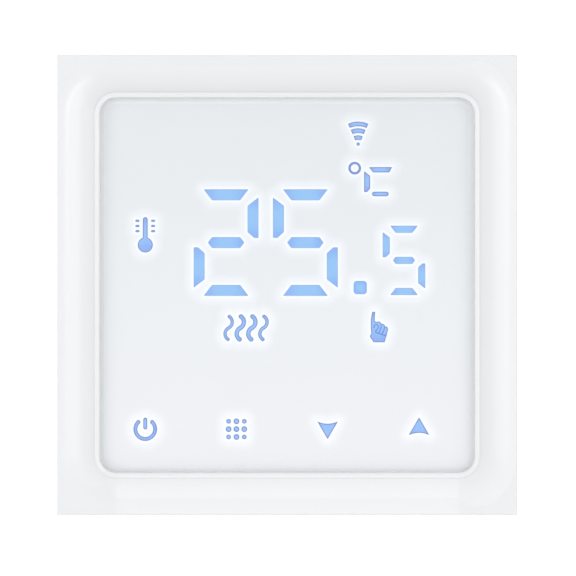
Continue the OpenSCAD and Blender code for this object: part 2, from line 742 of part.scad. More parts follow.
module terminal_screw(k) color("silver") stand() translate([pole_x(k), clamp_y, 0]) difference() {
    union() {
        slab(shelf_rear - screw_head_t, shelf_rear) circle(screw_head_r);
        slab(shelf_rear - 0.1, strip_front - strip_t - 0.4) circle(thread_r);
    }
    translate([-2, -0.3, shelf_rear - screw_head_t - 0.5]) cube([4, 0.6, 1.3]);
}

module terminal_clamp(k) color("goldenrod") stand() translate([pole_x(k), clamp_y, 0]) difference() {
    block([-cage_x, -cage_len / 2, cage_rear], [cage_x, cage_len / 2, cage_front]);
    block([-cage_x + cage_t, -cage_len, cage_head], [cage_x - cage_t, cage_len, cage_front - cage_floor]);
    slab(cage_rear - 1, cage_head + 1) circle(thread_r + 0.05);
}

front_frame();
touch_panel();
mask_film();
tens_digit();
units_digit();
tenths_digit();
unlit_segments();
celsius_sign();
wifi_icon();
thermometer_icon();
heating_icon();
manual_icon();
key_icons();
panel_tape();
display_reflector();
touch_springs();
display_board();
segment_leds();
controller_chips();
wifi_module();
board_components();
header_base();
header_pins();
room_sensor();
front_carrier();
carrier_screws();
mounting_plate();
rear_housing();
insulating_cover();
housing_screws();
power_board();
header_socket();
relay_base();
relay_cover();
relay_coil();
relay_yoke();
relay_armature();
relay_contacts();
transformer_core();
transformer_winding();
film_capacitor();
electrolytic_capacitors();
varistor();
fuse();
terminal_block();
terminal_contacts();
for (k = [0:poles - 1]) {
    terminal_screw(k);
    terminal_clamp(k);
}
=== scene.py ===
import json
import math

import bmesh
import bpy
import numpy as np
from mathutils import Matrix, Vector
from mathutils.geometry import delaunay_2d_cdt
from mathutils.kdtree import KDTree


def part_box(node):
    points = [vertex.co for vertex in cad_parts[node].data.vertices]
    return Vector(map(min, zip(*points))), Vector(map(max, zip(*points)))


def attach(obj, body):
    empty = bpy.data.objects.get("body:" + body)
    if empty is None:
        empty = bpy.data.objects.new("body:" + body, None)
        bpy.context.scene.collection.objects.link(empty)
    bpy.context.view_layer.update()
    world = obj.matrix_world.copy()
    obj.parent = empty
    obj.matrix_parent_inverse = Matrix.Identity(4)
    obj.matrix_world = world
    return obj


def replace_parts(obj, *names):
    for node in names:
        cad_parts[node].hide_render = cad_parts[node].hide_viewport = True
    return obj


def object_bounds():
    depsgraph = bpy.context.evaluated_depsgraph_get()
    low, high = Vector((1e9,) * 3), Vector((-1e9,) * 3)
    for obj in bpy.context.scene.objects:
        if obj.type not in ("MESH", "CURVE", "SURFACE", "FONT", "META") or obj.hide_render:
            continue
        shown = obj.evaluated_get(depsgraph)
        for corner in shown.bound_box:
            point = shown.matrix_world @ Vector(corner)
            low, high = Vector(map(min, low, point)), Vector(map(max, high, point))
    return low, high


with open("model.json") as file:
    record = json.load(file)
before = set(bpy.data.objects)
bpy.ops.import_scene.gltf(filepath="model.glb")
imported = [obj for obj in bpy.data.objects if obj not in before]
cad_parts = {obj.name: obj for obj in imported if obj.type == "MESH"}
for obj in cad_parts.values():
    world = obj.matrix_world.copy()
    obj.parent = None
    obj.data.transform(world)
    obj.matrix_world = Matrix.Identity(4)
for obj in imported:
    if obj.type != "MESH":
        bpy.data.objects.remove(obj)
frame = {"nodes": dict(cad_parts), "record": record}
cad_low, cad_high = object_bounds()
nodes = frame["nodes"]

MM = 0.001
LEVEL = 1e-6  # metres; points nearer than this to a plane lie in it
LIT_SIGNS = {
    "tens_digit": "segment",
    "units_digit": "segment",
    "tenths_digit": "segment",
    "celsius_sign": "icon",
    "wifi_icon": "icon",
    "thermometer_icon": "icon",
    "heating_icon": "icon",
    "manual_icon": "icon",
    "key_icons": "icon",
}


# ---------- node helpers ----------


class Finish:
    """A material with one Principled shader, and short calls to put nodes before it."""

    def __init__(self, name, **settings):
        self.material = bpy.data.materials.new(name)
        self.material.use_nodes = True
        self.tree = self.material.node_tree
        self.tree.nodes.clear()
        self.output = self.tree.nodes.new("ShaderNodeOutputMaterial")
        self.shader = self.tree.nodes.new("ShaderNodeBsdfPrincipled")
        self.tree.links.new(self.shader.outputs[0], self.output.inputs["Surface"])
        self.set(**settings)
        self.coordinates = self.tree.nodes.new("ShaderNodeTexCoord")

    def set(self, **settings):
        for key, value in settings.items():
            socket = self.shader.inputs[key.replace("_", " ").title().replace("Ior", "IOR")]
            socket.default_value = (*value, 1) if isinstance(value, tuple) else value

    def node(self, kind, settings=None, **inputs):
        made = self.tree.nodes.new("ShaderNode" + kind)
        for key, value in (settings or {}).items():
            setattr(made, key, value)
        for key, value in inputs.items():
            self.feed(made, key, value)
        return made

    def feed(self, made, key, value):
        """Links a socket or sets a value; a number in the name picks one of several sockets that share it."""
        name = key.replace("_", " ")
        socket = made.inputs[int(name[1:])] if name[0] == "i" and name[1:].isdigit() else made.inputs[name]
        if isinstance(value, bpy.types.NodeSocket):
            self.tree.links.new(value, socket)
        else:
            colour = isinstance(value, tuple) and len(socket.default_value) == 4
            socket.default_value = (*value, 1) if colour else value

    def plug(self, name, value):
        self.tree.links.new(value, self.shader.inputs[name])

    def at(self, stretch=(1, 1, 1)):
        """Object coordinates, stretched."""
        made = self.node("Mapping", {"vector_type": "POINT"}, Vector=self.coordinates.outputs["Object"])
        made.inputs["Scale"].default_value = stretch
        return made.outputs[0]

    def noise(self, size, detail=3.0, stretch=(1, 1, 1)):
        """Noise whose features are about size metres across."""
        made = self.node("TexNoise", Vector=self.at(stretch), Scale=1 / size, Detail=detail, Roughness=0.55)
        return made.outputs["Fac"]

    def cells(self, size, output="Distance", stretch=(1, 1, 1), distance="EUCLIDEAN"):
        """Scattered cells about size metres across: the distance to a cell's middle, or the cell's colour."""
        settings = {"feature": "F1", "distance": distance}
        made = self.node("TexVoronoi", settings, Vector=self.at(stretch), Scale=1 / size)
        return made.outputs[output]

    def waves(self, size, axis, distortion=0.0):
        """Even bands across an axis, size metres from one to the next."""
        settings = {"wave_type": "BANDS", "bands_direction": axis, "wave_profile": "SIN"}
        scale = math.tau / size / 20
        made = self.node("TexWave", settings, Vector=self.at(), Scale=scale, Distortion=distortion)
        return made.outputs["Fac"]

    def ramp(self, value, low, high, to_low=0.0, to_high=1.0, smooth=False):
        """Goes from to_low to to_high while value goes from low to high."""
        kind = "SMOOTHSTEP" if smooth else "LINEAR"
        made = self.node("MapRange", {"clamp": True, "interpolation_type": kind})
        for socket, given in zip(made.inputs[:5], (value, low, high, to_low, to_high)):
            if isinstance(given, bpy.types.NodeSocket):
                self.tree.links.new(given, socket)
            else:
                socket.default_value = given
        return made.outputs[0]

    def math(self, operation, a, b=0.0):
        return self.node("Math", {"operation": operation}, i0=a, i1=b).outputs[0]

    def mix(self, share, a, b):
        """Colour a where share is 0, and b where it is 1."""
        made = self.node("Mix", {"data_type": "RGBA"})
        for socket, given in zip((made.inputs[0], made.inputs[6], made.inputs[7]), (share, a, b)):
            if isinstance(given, bpy.types.NodeSocket):
                self.tree.links.new(given, socket)
            else:
                socket.default_value = (*given, 1) if isinstance(given, tuple) else given
        return made.outputs[2]

    def place(self, axis):
        """An object coordinate in metres."""
        made = self.node("SeparateXYZ", Vector=self.coordinates.outputs["Object"])
        return made.outputs["XYZ".index(axis)]

    def facing(self, axis):
        """A component of the surface's normal, so that tops and edges can differ."""
        made = self.node("SeparateXYZ", Vector=self.node("NewGeometry").outputs["Normal"])
        return made.outputs["XYZ".index(axis)]

    def attribute(self, name):
        return self.node("Attribute", {"attribute_name": name}).outputs["Fac"]

    def relief(self, height, depth, strength=0.5, edge=0.0):
        """Bump from height, depth metres deep, over edges rounded to the radius edge."""
        made = self.node("Bump", Strength=strength, Distance=depth, Height=height)
        if edge:
            worn = self.node("Bevel", {"samples": 4}, Radius=edge)
            self.tree.links.new(worn.outputs[0], made.inputs["Normal"])
        self.plug("Normal", made.outputs[0])


def tone(colour, factor):
    return tuple(min(1.0, c * factor) for c in colour)


def moulded(name, colour, roughness, grain=0.25 * MM, depth=0.004 * MM, edge=0.12 * MM, shift=0.04, coat=0.0):
    """Moulded plastic: an even colour with a faint flow pattern, a fine texture and softened edges."""
    made = Finish(name, roughness=roughness, coat_weight=coat)
    flow = made.noise(14 * MM, 2.0)
    fine = made.noise(grain, 3.0)
    made.plug("Base Color", made.mix(flow, tone(colour, 1 - shift), tone(colour, 1 + shift / 2)))
    made.plug("Roughness", made.ramp(fine, 0.3, 0.7, roughness * 0.85, min(1.0, roughness * 1.2)))
    made.relief(fine, depth, 0.6, edge)
    return made.material


def metal(name, colour, roughness, streak, size=0.3 * MM, spread=0.12):
    """Metal with drawn or turned streaks, uneven tone and lightly rubbed edges."""
    made = Finish(name, metallic=1.0, roughness=roughness)
    lines = made.noise(size, 4.0, streak)
    cloud = made.noise(6 * MM, 3.0)
    worn = made.mix(cloud, tone(colour, 1 - spread), tone(colour, 1 + spread))
    made.plug("Base Color", made.mix(made.ramp(lines, 0.35, 0.75), worn, tone(colour, 1 - 1.5 * spread)))
    made.plug("Roughness", made.ramp(lines, 0.3, 0.7, roughness * 0.7, min(1.0, roughness * 1.45)))
    made.relief(lines, 0.004 * MM, 0.5, 0.08 * MM)
    return made.material


# ---------- mesh helpers ----------

HARDLY_BENT = 0.15  # radians; an outline's corner that turns less stays as it is
CHUNK = 200  # points measured at once, to spare memory
BEAD_STEP = 0.08 * MM  # between the points that stand for an outline in the quick measure
OWN_SIDE = 0.93  # a point beside an outline is kept if no outline is nearer than this share of its distance


def new_piece(name, bm, material, smooth_angle=35):
    """A piece of the front unit from a bmesh, with edges over smooth_angle degrees left sharp."""
    mesh = bpy.data.meshes.new(name)
    bm.to_mesh(mesh)
    bm.free()
    mesh.materials.append(material)
    made = bpy.data.objects.new(name, mesh)
    bpy.context.scene.collection.objects.link(made)
    mesh.shade_smooth()
    mesh.set_sharp_from_angle(angle=math.radians(smooth_angle))
    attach(made, "front_unit")
    return made


def corner_radius(node):
    """Corner radius of a rounded square node, from where its top edge ends."""
    low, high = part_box(node)
    top = [v.co.x for v in nodes[node].data.vertices if v.co.z > high.z - LEVEL]
    return high.x - max(top)


def rounded_outline(half, radius, steps=10):
    """Points (x, z) round a rounded square."""
    points = []
    straight = half - radius
    for quarter in range(4):
        turn = quarter * math.pi / 2
        corner_x = straight * (math.cos(turn) - math.sin(turn))
        corner_z = straight * (math.sin(turn) + math.cos(turn))
        for step in range(steps + 1):
            angle = turn + step / steps * math.pi / 2
            points.append((corner_x + radius * math.cos(angle), corner_z + radius * math.sin(angle)))
    return points


def loft(bm, rings):
    """Joins rings of points, and closes the first and the last."""
    loops = [[bm.verts.new(point) for point in ring] for ring in rings]
    count = len(loops[0])
    for a, b in zip(loops, loops[1:]):
        for k in range(count):
            bm.faces.new((a[k], a[(k + 1) % count], b[(k + 1) % count], b[k]))
    bm.faces.new(loops[0][::-1])
    bm.faces.new(loops[-1])
    bmesh.ops.recalc_face_normals(bm, faces=bm.faces)


def front_faces(node):
    """A bmesh of the flat faces on the room side of a node."""
    bm = bmesh.new()
    bm.from_mesh(nodes[node].data)
    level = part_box(node)[0].y
    behind = [f for f in bm.faces if any(v.co.y > level + LEVEL for v in f.verts)]
    bmesh.ops.delete(bm, geom=behind, context="FACES")
    bmesh.ops.remove_doubles(bm, verts=bm.verts, dist=3e-6)
    return bm


def outlines(bm):
    """The outlines of flat faces, each a list of points (x, z) in order."""
    loops = []
    left = [e for e in bm.edges if e.is_boundary]
    while left:
        edge = left.pop()
        first, at = edge.verts
        loop = [first]
        while at is not first:
            loop.append(at)
            edge = next(e for e in at.link_edges if e in left)
            left.remove(edge)
            at = edge.other_vert(at)
        loops.append([Vector((v.co.x, v.co.z)) for v in loop])
    return loops


def softened(loop, radius, most):
    """An outline with its corners rounded, cutting back each by no more than most."""
    made = []
    for k, corner in enumerate(loop):
        back, ahead = loop[k - 1] - corner, loop[(k + 1) % len(loop)] - corner
        bend = math.pi - back.angle(ahead)
        if bend < HARDLY_BENT:
            made.append(corner)
            continue
        reach = min(radius * math.tan(bend / 2), most, 0.45 * back.length, 0.45 * ahead.length)
        start, end = corner + reach * back.normalized(), corner + reach * ahead.normalized()
        for t in (0, 0.2, 0.4, 0.6, 0.8, 1):
            made.append(start * (1 - t) ** 2 + corner * 2 * t * (1 - t) + end * t * t)
    return made


def divided(loop, spacing):
    """An outline with points no further apart than spacing."""
    made = []
    for k, point in enumerate(loop):
        following = loop[(k + 1) % len(loop)]
        parts = max(1, math.ceil((following - point).length / spacing))
        made += [point.lerp(following, n / parts) for n in range(parts)]
    return made


def beside(loop, distance):
    """Points to both sides of an outline, at a distance from it."""
    made = []
    for k, point in enumerate(loop):
        along = loop[(k + 1) % len(loop)] - loop[k - 1]
        across = Vector((-along.y, along.x)).normalized() * distance
        made += [point + across, point - across]
    return made


def net(low, high, spacing):
    """Points of an even net over a rectangle, every other row shifted by half."""
    made = []
    for row in range(1, int((high.z - low.z) / spacing)):
        for column in range(1, int((high.x - low.x) / spacing)):
            made.append(Vector((low.x + (column + row % 2 / 2) * spacing, low.z + row * spacing)))
    return made


def sides(loops):
    """Both ends of every side of closed outlines, and the number of its outline."""
    starts = np.array([tuple(p) for loop in loops for p in loop])
    ends = np.array([tuple(loop[(k + 1) % len(loop)]) for loop in loops for k in range(len(loop))])
    return starts, ends, np.array([k for k, loop in enumerate(loops) for _ in loop])


def how_far(points, loops):
    """Each point's distance to the nearest outline, and that outline's number."""
    starts, ends, owner = sides(loops)
    along = ends - starts
    places = np.array([tuple(p) for p in points])
    distances, owners = [], []
    for some in np.array_split(places, len(places) // CHUNK + 1):
        offset = some[:, None] - starts
        share = np.clip((offset * along).sum(2) / (along ** 2).sum(1), 0, 1)
        away = np.linalg.norm(offset - share[..., None] * along, axis=2)
        distances += away.min(1).tolist()
        owners += owner[away.argmin(1)].tolist()
    return distances, owners


def quickly_how_far(points, loops):
    """The same by the nearest of closely set outline points, for many points away from the outlines."""
    beads = [p for loop in loops for p in divided(loop, BEAD_STEP)]
    tree = KDTree(len(beads))
    for k, bead in enumerate(beads):
        tree.insert((*bead, 0), k)
    tree.balance()
    return [tree.find((*p, 0))[2] for p in points]


def enclosed(points, loops):
    """Whether each point lies within the outlines and outside their holes."""
    starts, ends, _ = sides(loops)
    made = []
    for x, z in points:
        crossed = (starts[:, 1] > z) != (ends[:, 1] > z)
        a, b = starts[crossed], ends[crossed]
        at = a[:, 0] + (z - a[:, 1]) / (b[:, 1] - a[:, 1]) * (b[:, 0] - a[:, 0])
        made.append((at > x).sum() % 2 == 1)
    return made


def triangles(loops, inner):
    """Triangles inside closed outlines (holes left open), with further points within them."""
    points = [p / MM for loop in loops for p in loop]
    edges = []
    for loop in loops:
        start = len(edges)
        edges += [(start + k, start + (k + 1) % len(loop)) for k in range(len(loop))]
    spread, _, faces = delaunay_2d_cdt(points + [p / MM for p in inner], edges, [], 1, 1e-4)[:3]
    spread = [p * MM for p in spread]
    middles = [sum((spread[k] for k in face), Vector((0, 0))) / 3 for face in faces]
    return spread, [face for face, kept in zip(faces, enclosed(middles, loops)) if kept]


def stand_up(bm, front, faces, back):
    """Faces over front points, and walls from their edges back to the depth back."""
    for face in faces:
        bm.faces.new([front[k] for k in face])
    bmesh.ops.recalc_face_normals(bm, faces=bm.faces)
    if sum(f.normal.y * f.calc_area() for f in bm.faces) > 0:
        bmesh.ops.reverse_faces(bm, faces=bm.faces)
    wall = bmesh.ops.extrude_edge_only(bm, edges=[e for e in bm.edges if e.is_boundary])
    for vertex in (v for v in wall["geom"] if isinstance(v, bmesh.types.BMVert)):
        vertex.co.y = back
    bmesh.ops.recalc_face_normals(bm, faces=bm.faces)


# ---------- display ----------

PRINT_STEP = 0.02 * MM  # the print lies this far behind the signs, and the glass as far before them
GLOW_LINES = (0.15, 0.4, 0.65, 1.0, 1.5, 2.2)  # distances from the signs, in mm, where the print has points
BORDER_LINES = (0.12, 0.45, 0.65, 0.95, 1.4)  # and from its own edge
PRINT_NET = 1.5 * MM  # between the print's points elsewhere


def film_print(material):
    """The printed film as a sheet that knows its distance from the lit signs and from its own edge."""
    low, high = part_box("mask_film")
    half, radius = high.x, corner_radius("mask_film")
    signs = []
    for node in LIT_SIGNS:
        bm = front_faces(node)
        signs += [divided(loop, 0.3 * MM) for loop in outlines(bm)]
        bm.free()
    points = []
    for line in GLOW_LINES:
        ring = [p for loop in signs for p in beside(loop, line * MM)]
        points += [p for p, away in zip(ring, quickly_how_far(ring, signs)) if away > OWN_SIDE * line * MM]
    points += net(low, high, PRINT_NET)
    points = [p for p in points if half - max(abs(p.x), abs(p.y)) > 1.6 * MM]
    for line in BORDER_LINES:
        inset = line * MM
        points += divided([Vector(p) for p in rounded_outline(half - inset, radius - inset)], PRINT_NET)
    edge = divided([Vector(p) for p in rounded_outline(half, radius)], PRINT_NET)
    spread, faces = triangles([edge], points)

    bm = bmesh.new()
    glow = bm.verts.layers.float.new("glow")
    border = bm.verts.layers.float.new("border")
    front = []
    for point, to_sign, to_edge in zip(spread, quickly_how_far(spread, signs), how_far(spread, [edge])[0]):
        vertex = bm.verts.new((point.x, low.y + PRINT_STEP, point.y))
        vertex[glow] = min(3.0, to_sign / MM)
        vertex[border] = min(2.0, to_edge / MM)
        front.append(vertex)
    stand_up(bm, front, faces, high.y)
    film = new_piece("film_print", bm, material)
    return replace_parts(film, "mask_film", "unlit_segments")


def lit_sign(node, kind, material):
    """A sign's window, whose points know how far they are from its outline and from its stroke's middle."""
    low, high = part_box(node)
    bm = front_faces(node)
    bmesh.ops.dissolve_limit(bm, angle_limit=0.02, verts=bm.verts, edges=bm.edges)
    loops = outlines(bm)
    bm.free()
    spacing, radius, lines = (0.2, 0.35, (0.09, 0.3)) if kind == "segment" else (0.12, 0.08, (0.08, 0.16))
    loops = [divided(softened(loop, radius * MM, 0.14 * MM), spacing * MM) for loop in loops]
    inner = []
    for line in lines:
        ring = [p for loop in loops for p in beside(loop, line * MM)]
        inner += [p for p, away in zip(ring, how_far(ring, loops)[0]) if away > OWN_SIDE * line * MM]
    evenly = net(low, high, spacing * MM)
    inner += [p for p, away in zip(evenly, how_far(evenly, loops)[0]) if away > (lines[-1] + 0.06) * MM]
    spread, faces = triangles(loops, inner)

    bm = bmesh.new()
    depth = bm.verts.layers.float.new("depth")
    middle = bm.verts.layers.float.new("middle")
    front = []
    for point, away, owner in zip(spread, *how_far(spread, loops)):
        corners = np.array([tuple(p) for p in loops[owner]])
        centre = (corners.max(0) + corners.min(0)) / 2
        vertex = bm.verts.new((point.x, low.y, point.y))
        vertex[depth] = away / MM
        from_centre = np.abs(np.array(tuple(point)) - centre).max()
        vertex[middle] = 1 - min(1.0, from_centre / np.ptp(corners, axis=0).max() * 2)
        front.append(vertex)
    stand_up(bm, front, faces, high.y)
    sign = new_piece(node.replace("_", "-") + "-window", bm, material)
    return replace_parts(sign, node)


def hand_creases(material):
    """The lines between the folded fingers, as thin dark ribbons on the hand."""
    low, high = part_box("manual_icon")
    size = high - low
    half_width = 0.085 * MM
    lift = 0.004 * MM
    strokes = [
        [
            (0.22, 0.47), (0.27, 0.56), (0.36, 0.59), (0.45, 0.55),
            (0.47, 0.48), (0.40, 0.42), (0.32, 0.36), (0.33, 0.32),
        ],
        [(0.33, 0.32), (0.45, 0.30), (0.58, 0.27), (0.72, 0.24), (0.82, 0.22), (0.90, 0.27)],
        [(0.61, 0.57), (0.62, 0.48), (0.57, 0.40), (0.49, 0.31)],
        [(0.80, 0.50), (0.79, 0.43), (0.74, 0.36), (0.66, 0.26)],
    ]
    bm = bmesh.new()
    for stroke in strokes:
        points = [Vector((low.x + u * size.x, low.y - lift, low.z + v * size.z)) for u, v in stroke]
        edges = []
        for k, point in enumerate(points):
            along = points[min(k + 1, len(points) - 1)] - points[max(k - 1, 0)]
            across = Vector((-along.z, 0, along.x)).normalized() * half_width
            edges.append((bm.verts.new(point + across), bm.verts.new(point - across)))
        for (a, b), (c, d) in zip(edges, edges[1:]):
            bm.faces.new((a, b, d, c))
    bmesh.ops.recalc_face_normals(bm, faces=bm.faces)
    return new_piece("hand_creases", bm, material)


def touch_glass(material):
    """The glass with a ground bevel that rolls into its front."""
    low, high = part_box("touch_panel")
    half, radius = high.x, corner_radius("touch_panel")
    bevel_width = 0.6 * MM
    bevel_depth = 0.42 * MM
    sections = [(0, high.y - PRINT_STEP), (0, low.y + bevel_depth)]
    for degrees in range(15, 91, 15):
        turn = math.radians(degrees)
        sections.append((bevel_width * (1 - math.cos(turn)), low.y + bevel_depth * (1 - math.sin(turn))))
    rings = []
    for inset, y in sections:
        rings.append([(x, y, z) for x, z in rounded_outline(half - inset, radius - inset)])
    bm = bmesh.new()
    loft(bm, rings)
    glass = new_piece("panel_glass", bm, material, 50)
    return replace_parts(glass, "touch_panel")


# ---------- display materials ----------


def printed_film():
    """White ink, greener towards the panel's top and violet towards its foot, with painted shade that darkens
    it towards the top, a painted shade and highlight of the glass's bevel along its edge, and lit round the
    signs.
    """
    made = Finish("printed_film", roughness=0.5)
    low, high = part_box("mask_film")
    # painted shade: the ink darkens towards the panel's top and lightens towards its foot
    height = made.ramp(made.place("Z"), low.z, high.z)
    lower = made.mix(made.ramp(height, 0.0, 0.45), (0.9, 0.88, 0.908), (0.865, 0.862, 0.887))
    ink_with_painted_shade = made.mix(made.ramp(height, 0.45, 0.95), lower, (0.815, 0.82, 0.845))
    grain = made.noise(0.5 * MM, 2.0)
    mottled = made.mix(made.ramp(grain, 0.3, 0.7, 0.0, 0.03), ink_with_painted_shade, (0.75, 0.77, 0.79))
    border = made.attribute("border")
    # painted shade and painted highlight of the glass's bevel: a slightly grey band at the print's edge, and
    # a lighter band just inside it
    bevel_painted_highlight = made.mix(made.ramp(border, 0.75, 1.15, 0.8, 0.0, smooth=True), mottled, (0.9, 0.91, 0.915))
    edge = made.mix(made.ramp(border, 0.5, 0.68, 0.9, 0.0, smooth=True), bevel_painted_highlight, (0.87, 0.872, 0.885))
    made.plug("Base Color", edge)
    made.plug("Roughness", made.ramp(grain, 0.3, 0.7, 0.42, 0.58))
    glow = made.attribute("glow")
    near = made.ramp(glow, 0.25, 0.7, 1.0, 0.5, smooth=True)
    faded = made.math("MULTIPLY", near, made.ramp(glow, 0.7, 2.3, 1.0, 0.0, smooth=True))
    made.plug("Emission Color", made.mix(faded, (0.0, 0.0, 0.0), (0.9, 0.95, 1.0)))
    made.set(emission_strength=0.14)
    return made.material


def lit_blue(name, rim, ends, body, rim_width=0.12):
    """Light through a blue window: a dusky outline, and brighter towards the middle of every stroke."""
    made = Finish(name, roughness=0.4)
    spots = made.noise(1.6 * MM, 2.0)
    middle = made.math("ADD", made.attribute("middle"), made.ramp(spots, 0.3, 0.7, -0.12, 0.12))
    inner = made.mix(made.ramp(middle, 0.05, 0.75, smooth=True), ends, body)
    at_rim = made.ramp(made.attribute("depth"), 0.25 * rim_width, rim_width, 1.0, 0.0, smooth=True)
    colour = made.mix(at_rim, inner, rim)
    made.plug("Base Color", made.mix(0.85, colour, (0.0, 0.0, 0.0)))
    made.plug("Emission Color", colour)
    made.set(emission_strength=1.0)
    return made.material


def panel_glass():
    """Clear glass: what is behind it shows, with more of the room on its front the flatter it is seen."""
    made = Finish("panel_glass", base_color=(1.0, 1.0, 1.0), roughness=0.03, specular_ior_level=0.5)
    smear = made.noise(9 * MM, 3.0)
    made.plug("Roughness", made.ramp(smear, 0.3, 0.7, 0.02, 0.06))
    clear = made.node("BsdfTransparent")
    clear.inputs["Color"].default_value = (0.992, 0.998, 0.996, 1)
    slant = made.node("LayerWeight", Blend=0.5).outputs["Facing"]
    gloss = made.ramp(made.math("POWER", slant, 5.0), 0.0, 1.0, 0.02, 0.9)
    blend = made.node("MixShader", i0=gloss)
    made.tree.links.new(clear.outputs[0], blend.inputs[1])
    made.tree.links.new(made.shader.outputs[0], blend.inputs[2])
    made.tree.links.new(blend.outputs[0], made.output.inputs["Surface"])
    return made.material


# ---------- other materials ----------


def front_plastic(name):
    """Glossy white polycarbonate with the faint waviness of a polished mould."""
    made = Finish(name, roughness=0.22, ior=1.55, coat_weight=0.25, coat_roughness=0.12)
    flow = made.noise(18 * MM, 2.0)
    fine = made.noise(0.35 * MM, 3.0)
    made.plug("Base Color", made.mix(flow, (0.846, 0.845, 0.85), (0.866, 0.865, 0.869)))
    made.plug("Roughness", made.ramp(fine, 0.3, 0.7, 0.2, 0.27))
    wavy = made.noise(3.5 * MM, 2.0)
    made.relief(made.math("ADD", wavy, made.math("MULTIPLY", fine, 0.05)), 0.01 * MM, 0.3, 0.22 * MM)
    return made.material


def circuit_board(name):
    """Green solder mask over bundles of copper tracks, with tinned rings round holes painted near black as
    their shade, and bare laminate edges.
    """
    made = Finish(name, roughness=0.35, coat_weight=0.3, coat_roughness=0.15)
    flat = (1, 0.05, 1)
    patch = made.cells(6 * MM, "Color", flat, "CHEBYCHEV")
    pick = made.node("SeparateColor", Color=patch)
    upright = made.ramp(pick.outputs[0], 0.49, 0.51)
    level = made.math("SUBTRACT", 1.0, upright)
    upright_tracks = made.math("MULTIPLY", made.ramp(made.waves(1.3 * MM, "X"), 0.6, 0.7), upright)
    level_tracks = made.math("MULTIPLY", made.ramp(made.waves(1.3 * MM, "Z"), 0.6, 0.7), level)
    tracks = made.math("ADD", upright_tracks, level_tracks)
    pour = made.ramp(pick.outputs[1], 0.58, 0.6)
    copper = made.math("MAXIMUM", tracks, pour)
    holes = made.cells(3.1 * MM, stretch=flat)
    ring = made.ramp(holes, 0.1, 0.115, 1.0, 0.0)
    # painted shade: near-black dots where holes would be, standing for the shade inside them
    hole_shade_mask = made.ramp(holes, 0.05, 0.06, 1.0, 0.0)
    weave = made.math("MULTIPLY", made.waves(0.5 * MM, "X"), made.waves(0.5 * MM, "Z"))
    mask = made.mix(made.ramp(weave, 0.0, 1.0, 0.0, 0.25), (0.012, 0.13, 0.055), (0.02, 0.18, 0.08))
    green = made.mix(copper, mask, (0.03, 0.27, 0.12))
    tinned = made.mix(ring, green, (0.72, 0.7, 0.64))
    holes_painted_shade = made.mix(hole_shade_mask, tinned, (0.02, 0.03, 0.02))
    sheet = made.math("ABSOLUTE", made.facing("Y"))
    made.plug("Base Color", made.mix(made.ramp(sheet, 0.4, 0.6), (0.55, 0.5, 0.28), holes_painted_shade))
    tin = made.math("SUBTRACT", ring, hole_shade_mask)
    made.plug("Metallic", made.math("MULTIPLY", tin, made.ramp(sheet, 0.4, 0.6)))
    made.relief(made.math("ADD", copper, tin), 0.035 * MM, 0.6)
    return made.material


def galvanised_steel(name):
    """Zinc coated sheet: large dull and bright crystals, rolled streaks and rubbed edges."""
    made = Finish(name, metallic=1.0, roughness=0.4)
    crystals = made.cells(5 * MM, "Color", (1, 0.4, 1))
    shade = made.node("SeparateColor", Color=crystals).outputs[0]
    streaks = made.noise(0.35 * MM, 4.0, (0.06, 1, 1))
    zinc = made.mix(shade, (0.57, 0.59, 0.61), (0.71, 0.73, 0.75))
    made.plug("Base Color", made.mix(made.ramp(streaks, 0.4, 0.8, 0.0, 0.5), zinc, (0.42, 0.44, 0.46)))
    made.plug("Roughness", made.ramp(shade, 0.0, 1.0, 0.3, 0.5))
    made.relief(made.math("ADD", shade, streaks), 0.008 * MM, 0.4, 0.1 * MM)
    return made.material


def foam(name):
    """White foam tape with open cells, with a faint glow of painted light that lightens the shade in the gap
    round the glass.
    """
    # painted light: the emission lightens the shaded gap between the glass and the frame
    made = Finish(name, roughness=0.9, emission_strength=0.33)
    cells = made.cells(0.35 * MM)
    made.plug("Base Color", made.mix(made.ramp(cells, 0.1, 0.6), (0.78, 0.78, 0.78), (0.88, 0.88, 0.88)))
    made.relief(cells, 0.08 * MM, 0.8)
    return made.material


def small_lens(name):
    """A white lamp body with a yellowish phosphor face."""
    made = Finish(name, roughness=0.3, coat_weight=0.4)
    face = made.ramp(made.facing("Y"), -0.9, -0.6, 1.0, 0.0)
    speckle = made.noise(0.12 * MM, 2.0)
    phosphor = made.mix(speckle, (0.85, 0.78, 0.36), (0.95, 0.9, 0.55))
    made.plug("Base Color", made.mix(face, (0.88, 0.87, 0.83), phosphor))
    made.relief(speckle, 0.01 * MM, 0.5, 0.08 * MM)
    return made.material


def shielded_module(name):
    """A tinned can on a dark green module board with gold half-holes along its edges."""
    low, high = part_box("wifi_module")
    made = Finish(name, roughness=0.3)
    board = made.ramp(made.place("Y"), low.y + 0.81 * MM, low.y + 0.83 * MM, 1.0, 0.0)
    pitch = made.waves(1.27 * MM, "Z")
    from_middle = made.math("ABSOLUTE", made.math("SUBTRACT", made.place("X"), (low.x + high.x) / 2))
    half = (high.x - low.x) / 2
    margin = made.ramp(from_middle, half - 0.9 * MM, half - 0.85 * MM)
    gold = made.math("MULTIPLY", made.ramp(pitch, 0.5, 0.55), margin)
    drawn = made.noise(0.4 * MM, 4.0, (1, 1, 0.08))
    tin = made.mix(made.ramp(drawn, 0.35, 0.7), (0.76, 0.77, 0.78), (0.62, 0.63, 0.65))
    laminate = made.mix(gold, (0.015, 0.05, 0.09), (0.8, 0.6, 0.25))
    made.plug("Base Color", made.mix(board, tin, laminate))
    made.plug("Metallic", made.math("MAXIMUM", made.math("SUBTRACT", 1.0, board), gold))
    made.relief(drawn, 0.005 * MM, 0.4, 0.15 * MM)
    return made.material


